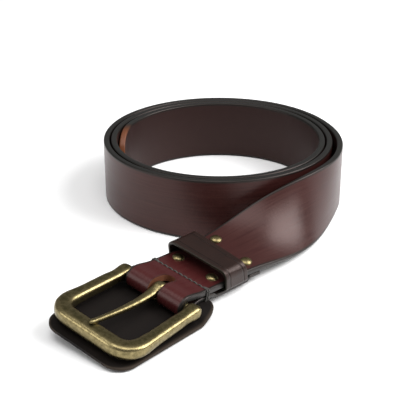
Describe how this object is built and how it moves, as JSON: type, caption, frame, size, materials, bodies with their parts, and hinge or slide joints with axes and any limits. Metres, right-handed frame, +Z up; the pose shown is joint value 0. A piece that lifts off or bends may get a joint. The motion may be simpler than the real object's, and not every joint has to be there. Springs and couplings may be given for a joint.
{
  "type": "leather belt",
  "caption": "Leather belt coiled on its edge, with a single-prong metal buckle, a leather guard under the buckle, a keeper loop and domed rivets.",
  "frame": {"origin": "middle of the bottom of the bounding box, on the surface the belt stands on", "axes": "+Z up, the height of the coil; +Y from the buckle to the far side of the coil, the longest way; +X to the right of someone facing the coil from the buckle"},
  "size_m": [0.1628, 0.268, 0.039],
  "materials": {
    "strap_leather": "satin, pebbled grain, dark painted edges",
    "keeper_leather": "satin, fine grain",
    "guard_leather": "matt, smooth",
    "antique_brass": "aged, rubbed bright on the high spots",
    "waxed_thread": "waxed, dark"
  },
  "bodies": {
    "belt": {"strap": "strap_leather", "buckle_guard": "guard_leather", "stitch_thread": "waxed_thread", "rivet_cap_front_left": "antique_brass", "rivet_post_front_left": "antique_brass", "rivet_cap_front_right": "antique_brass", "rivet_post_front_right": "antique_brass", "rivet_cap_rear_left": "antique_brass", "rivet_post_rear_left": "antique_brass", "rivet_cap_rear_right": "antique_brass", "rivet_post_rear_right": "antique_brass"},
    "frame": {"buckle_frame": "antique_brass"},
    "tongue": {"prong": "antique_brass"},
    "loop": {"keeper": "keeper_leather"}
  },
  "joints": [
    {"name": "frame_swing", "type": "hinge", "parent": "belt", "child": "frame", "pos_m": [-0.02784, -0.07826, 0.01115], "axis": [-0.7563, 0.6414, 0.1288], "range_deg": [0, 70]},
    {"name": "prong_swing", "type": "hinge", "parent": "frame", "child": "tongue", "pos_m": [-0.02784, -0.07826, 0.01115], "axis": [-0.7563, 0.6414, 0.1288], "range_deg": [0, 60]},
    {"name": "keeper_slide", "type": "slide", "parent": "belt", "child": "loop", "axis": [-0.6866, -0.726, 0.0382], "range_m": [-0.0008, 0.0008]}
  ]
}
